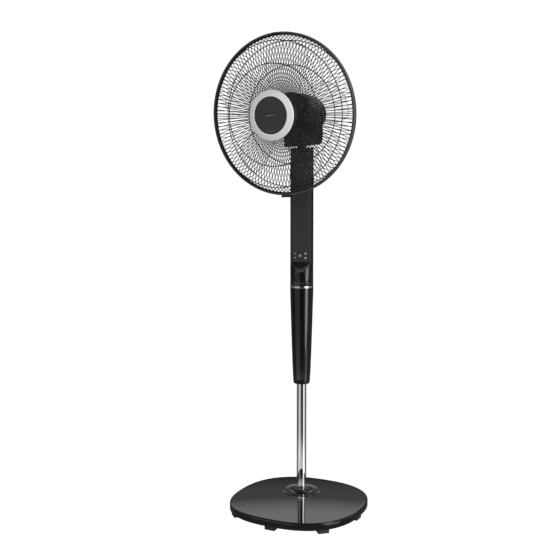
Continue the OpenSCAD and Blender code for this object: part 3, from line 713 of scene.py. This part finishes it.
def badge():
    """The silver ring and the black disc, with a plain strip and four small dots."""
    place = HEAD @ Matrix.Translation((0, 0, RIM_S + CAGE_DEPTH))
    hub = fillet([(48.7, 0.2), (HUB_R, 0.2), (HUB_R, 1.8), (HUB_R - 2, 3.6), (52.5, 7.6), (50, 8), (48.7, 7.4)],
                 [0, 0.3, 0.8, 1.6, 1.6, 0.8, 0.4], 5)
    piece("silver_ring", *lathe(hub, 160), place, SILVER, "head", "ring_silver", ["hub_ring"], 60)
    disc = fillet([(0, 0.2), (48.3, 0.2), (48.3, 5.8), (45.5, 7.3), (24, 8.3), (0, 8.7)], [0, 0, 0.8, 2, 8, 0],
                  6, closed=False)
    piece("badge_face", *lathe(disc, 128, closed=False), place, BADGE, "head", "body_satin", ["badge_disc"], 60)
    dots = []
    for x, y in ((0, 41), (-7, -40), (0, -41.5), (7, -40)):
        spot = lathe([(0, 0), (1.1, 0), (1.1, 0.35), (0, 0.5)], 16, closed=False)
        dots.append(moved(spot, Matrix.Translation((x, y, 7.25))))
    strip = prism(stadium(13, 0.55, 6), 8.2, 8.75)
    piece("badge_marks", *merge(strip, *dots), place, MARK, "head", "body_satin", (), 60)


# ---------------------------------------------------------------- rotor

LOWER_EDGE = [(26, -16), (60, -34), (110, -52), (150, -57), (174, -50), (184, -32)]
UPPER_EDGE = [(26, 17), (70, 32), (120, 45), (158, 42), (177, 24), (185.5, -4)]


def spline(points, count):
    """Points evenly along a smooth line through the given ones."""
    pts = [Vector(p) for p in points]
    pts = [pts[0] * 2 - pts[1]] + pts + [pts[-1] * 2 - pts[-2]]
    dense = []
    for i in range(1, len(pts) - 2):
        a, b, c, d = pts[i - 1:i + 3]
        for k in range(16):
            t = k / 16
            dense.append(0.5 * (2 * b + (c - a) * t + (2 * a - 5 * b + 4 * c - d) * t * t
                                + (3 * b - a - 3 * c + d) * t ** 3))
    dense.append(pts[-2])
    lengths = [0.0]
    for a, b in zip(dense, dense[1:]):
        lengths.append(lengths[-1] + (b - a).length)
    out, j = [], 0
    for k in range(count):
        want = lengths[-1] * k / (count - 1)
        while j < len(lengths) - 2 and lengths[j + 1] < want:
            j += 1
        span = max(lengths[j + 1] - lengths[j], 1e-9)
        out.append(dense[j].lerp(dense[j + 1], (want - lengths[j]) / span))
    return out


def blade_point(x, y, lift):
    """A point of the pitched and cambered blade, over the flat outline."""
    pitch = math.radians(BLADE_PITCH)
    chord = y / math.cos(pitch)
    bow = chord * chord / 520 + lift
    return (x, chord * math.cos(pitch) - bow * math.sin(pitch), chord * math.sin(pitch) + bow * math.cos(pitch))


def blades():
    """Five clear blades on a hub, with a fine dark edge."""
    rows, columns = 26, 14
    low = spline(LOWER_EDGE, rows)
    high = spline(UPPER_EDGE, rows)
    skin, edges = [], []
    for b in range(BLADES):
        turn = Matrix.Rotation(math.radians(12 + 360 * b / BLADES), 4, "Z")
        grid = []
        for i in range(rows):
            grid.append([low[i].lerp(high[i], k / (columns - 1)) for k in range(columns)])
        verts = []
        for lift in (-0.9, 0.9):
            verts += [blade_point(p[0], p[1], lift) for row in grid for p in row]
        size = rows * columns
        faces = []
        for i in range(rows - 1):
            for k in range(columns - 1):
                a = i * columns + k
                faces.append([a, a + columns, a + columns + 1, a + 1])
                faces.append([size + a, size + a + 1, size + a + columns + 1, size + a + columns])
        border = [k for k in range(columns)]
        border += [i * columns + columns - 1 for i in range(1, rows)]
        border += [(rows - 1) * columns + k for k in range(columns - 2, -1, -1)]
        border += [i * columns for i in range(rows - 2, 0, -1)]
        for u, v in zip(border, border[1:] + border[:1]):
            faces.append([u, v, size + v, size + u])
        skin.append(moved((verts, faces), turn))
        line = [blade_point(p[0], p[1], 0) for p in low] + [blade_point(p[0], p[1], 0) for p in reversed(high)]
        edges.append(moved(tube(line, 0.9, 6), turn))
    place = HEAD @ Matrix.Translation((0, 0, ROTOR_S))
    piece("blade_set", *merge(*skin), place, BLADE, "rotor", "blade_clear", ["fan_blades"], 40)
    piece("blade_rims", *merge(*edges), place, BLADE_EDGE, "rotor", "blade_clear", (), 40)
    hub = fillet([(4.1, -12), (27, -12), (27, -20), (34, -20), (34, 15), (30, 18), (4.1, 18)],
                 [0, 1, 0.8, 0.8, 3, 2, 0], 4)
    piece("blade_hub", *lathe(hub, 96), place, BLADE_EDGE, "rotor", "blade_clear", (), 50)
    nut = fillet([(0, 38), (12, 38), (17, 34), (17, 18.4), (0, 18.4)], [0, 3, 2, 0.8, 0], 4, closed=False)
    fluted = lathe(nut, 96, closed=False)
    nut_verts = []
    for v in fluted[0]:
        v = Vector(v)
        reach = math.hypot(v.x, v.y)
        if reach > 13 and 20 < v.z < 33:
            v.xy *= 1 - 0.045 * (0.5 + 0.5 * math.cos(12 * math.atan2(v.y, v.x)))
        nut_verts.append(v)
    piece("spinner", nut_verts, fluted[1], place, SATIN, "rotor", "body_satin", ["spinner_nut"], 50)


# ---------------------------------------------------------------- stage, lights, camera

def plain_emission(name, strength):
    """A plain white glow for the backdrop."""
    mat = bpy.data.materials.new(name)
    mat.use_nodes = True
    tree = mat.node_tree
    tree.nodes.clear()
    glow = tree.nodes.new("ShaderNodeEmission")
    glow.inputs["Strength"].default_value = strength
    out = tree.nodes.new("ShaderNodeOutputMaterial")
    tree.links.new(glow.outputs["Emission"], out.inputs["Surface"])
    mat.cycles.emission_sampling = "NONE"
    return mat


def stage():
    """A white floor and a white backdrop all round, which glossy surfaces don't mirror."""
    white = plain_emission("backdrop_white", 1.06)
    mesh = bpy.data.meshes.new("floor")
    far, low = 9, -0.0005
    mesh.from_pydata([(-far, -far, low), (far, -far, low), (far, far, low), (-far, far, low)], [], [[0, 1, 2, 3]])
    mesh.materials.append(white)
    floor = bpy.data.objects.new("floor", mesh)
    bpy.context.scene.collection.objects.link(floor)
    profile = [(far * math.cos(math.radians(a)), far * math.sin(math.radians(a))) for a in range(0, 90, 6)]
    profile.append((0, far))
    verts, faces = lathe(profile, 48, closed=False)
    mesh = bpy.data.meshes.new("backdrop")
    mesh.from_pydata(verts, [], faces)
    mesh.materials.append(white)
    dome = bpy.data.objects.new("backdrop", mesh)
    bpy.context.scene.collection.objects.link(dome)
    for obj in (floor, dome):
        obj.visible_glossy = False
        obj.visible_shadow = False


def brightness_ramp(tree, source, stops):
    """A grey ramp over a height from 0, straight down, to 1, straight up."""
    ramp = tree.nodes.new("ShaderNodeValToRGB")
    while len(ramp.color_ramp.elements) < len(stops):
        ramp.color_ramp.elements.new(0.5)
    for element, (at, value) in zip(ramp.color_ramp.elements, stops):
        element.position = at
        element.color = (value, value, value, 1)
    tree.links.new(source, ramp.inputs["Fac"])
    return ramp.outputs["Color"]


def world():
    """What glossy surfaces mirror: behind the fan dark below and pale higher up, and in front mostly dark."""
    sky = bpy.data.worlds.new("studio")
    bpy.context.scene.world = sky
    sky.use_nodes = True
    tree = sky.node_tree
    place = tree.nodes.new("ShaderNodeTexCoord")
    split = tree.nodes.new("ShaderNodeSeparateXYZ")
    tree.links.new(place.outputs["Generated"], split.inputs["Vector"])
    shift = tree.nodes.new("ShaderNodeMapRange")
    shift.inputs["From Min"].default_value = -1
    shift.inputs["From Max"].default_value = 1
    tree.links.new(split.outputs["Z"], shift.inputs["Value"])
    front = brightness_ramp(tree, shift.outputs["Result"], [
        (0.0, 0.25), (0.33, 0.10), (0.342, 0.60), (0.357, 0.60), (0.37, 0.08), (0.42, 0.02), (0.635, 0.02),
        (0.645, 1.6), (0.662, 1.6), (0.672, 0.02), (1.0, 0.02)])
    back = brightness_ramp(tree, shift.outputs["Result"], [
        (0.0, 0.10), (0.34, 0.08), (0.60, 0.015), (0.645, 0.20), (0.666, 0.22), (0.676, 0.42), (0.688, 0.66),
        (0.699, 0.86), (0.72, 1.0), (0.76, 1.0), (0.80, 0.08), (1.0, 0.05)])
    turn = tree.nodes.new("ShaderNodeMapRange")
    turn.inputs["From Min"].default_value = -0.15
    turn.inputs["From Max"].default_value = 0.25
    tree.links.new(split.outputs["Y"], turn.inputs["Value"])
    both = tree.nodes.new("ShaderNodeMix")
    both.data_type = "RGBA"
    tree.links.new(turn.outputs["Result"], both.inputs["Factor"])
    tree.links.new(front, both.inputs["A"])
    tree.links.new(back, both.inputs["B"])
    tree.links.new(both.outputs["Result"], tree.nodes["Background"].inputs["Color"])


def softbox(name, azimuth, distance, height, width, tall, radiance):
    """A soft light aimed at the fan. The azimuth is 0 in front and grows to the viewer's right."""
    light = bpy.data.lights.new(name, "AREA")
    light.shape = "RECTANGLE"
    light.size = width
    light.size_y = tall
    light.energy = radiance * math.pi * width * tall
    obj = bpy.data.objects.new(name, light)
    bpy.context.scene.collection.objects.link(obj)
    a = math.radians(azimuth)
    at = Vector((distance * math.sin(a), -distance * math.cos(a), height))
    aim = Vector((0, 0, height)) - at
    obj.location = at
    obj.rotation_euler = aim.to_track_quat("-Z", "Y").to_euler()
    obj.visible_camera = False


def lights():
    """Soft lights at both sides and behind, and a wide sun from the right that shades the silver ring."""
    softbox("wide_right", 60, 2.7, 1.25, 2.3, 2.5, 0.9)
    softbox("strip_right", 55, 2.6, 1.2, 1.05, 2.6, 3.6)
    softbox("low_right", 65, 2.6, -0.75, 1.6, 1.3, 1.1)
    softbox("panel_left", -41, 2.8, 0.9, 2.8, 3.2, 0.44)
    softbox("low_left", -41, 2.75, -0.75, 2.6, 1.3, 0.15)
    softbox("back_left", -105, 2.8, 0.9, 3.0, 3.2, 0.06)
    softbox("back_right", 112, 2.8, 0.2, 1.6, 2.6, 0.14)
    sun = bpy.data.objects.new("side_sun", bpy.data.lights.new("side_sun", "SUN"))
    sun.data.energy = 3.0
    sun.data.angle = 0.5
    side = 1.1
    sun.rotation_euler = Vector((-math.sin(side), math.cos(side), -0.25)).to_track_quat("-Z", "Y").to_euler()
    sun.visible_glossy = False
    bpy.context.scene.collection.objects.link(sun)


def camera():
    """The camera, in front of the fan and slightly to its right, aimed a little down."""
    data = bpy.data.cameras.new("camera")
    data.lens = 49.03
    data.sensor_width = 36
    obj = bpy.data.objects.new("camera", data)
    bpy.context.scene.collection.objects.link(obj)
    obj.location = (0.2419, -2.1694, 0.774)
    obj.rotation_euler = (math.radians(86.67), 0, math.radians(8))
    bpy.context.scene.camera = obj


camera()
bpy.context.scene.view_settings.view_transform = "Standard"
dress_nodes()
base_shell()
feet()
pole_parts()
sleeve_parts()
knob()
column_parts()
keys()
housing()
cage()
badge()
blades()
stage()
world()
lights()
